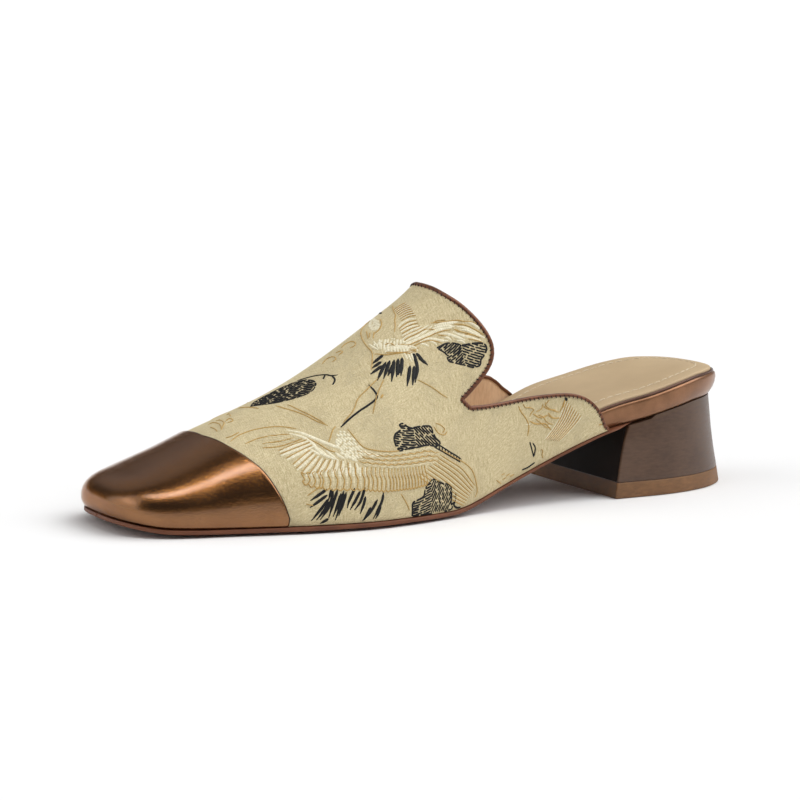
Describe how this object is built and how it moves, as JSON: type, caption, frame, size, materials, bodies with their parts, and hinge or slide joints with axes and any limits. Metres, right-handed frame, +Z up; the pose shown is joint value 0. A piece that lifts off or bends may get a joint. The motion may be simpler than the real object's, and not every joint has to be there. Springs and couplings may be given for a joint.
{
  "type": "closed toe slipper",
  "caption": "Left closed toe slipper, a square toe mule: woven fabric upper with a metallic leather toe cap, open back, padded footbed, thin outsole and low flared block heel.",
  "frame": {"origin": "on the floor, under the centre of the bounding box", "axes": "+X from heel to toe, +Y to the wearer's left (the outer side of this left shoe), +Z up"},
  "size_m": [0.2538, 0.0798, 0.0783],
  "materials": {
    "brocade": "woven satin ground with raised threads",
    "cap_leather": "metallic bronze foil, glossy",
    "binding_leather": "smooth, semi-matte",
    "sole_rubber": "smooth painted edge",
    "rim_leather": "soft bronze sheen",
    "sock_leather": "matte, fine grain",
    "heel_leather": "satin wrapped",
    "lift_rubber": "matte"
  },
  "bodies": {
    "root": {"upper": "brocade", "toe_cap": "cap_leather", "collar_binding": "binding_leather", "outsole": "sole_rubber", "footbed": "rim_leather", "sock_lining": "sock_leather", "heel_block": "heel_leather", "top_lift": "lift_rubber"}
  },
  "joints": []
}
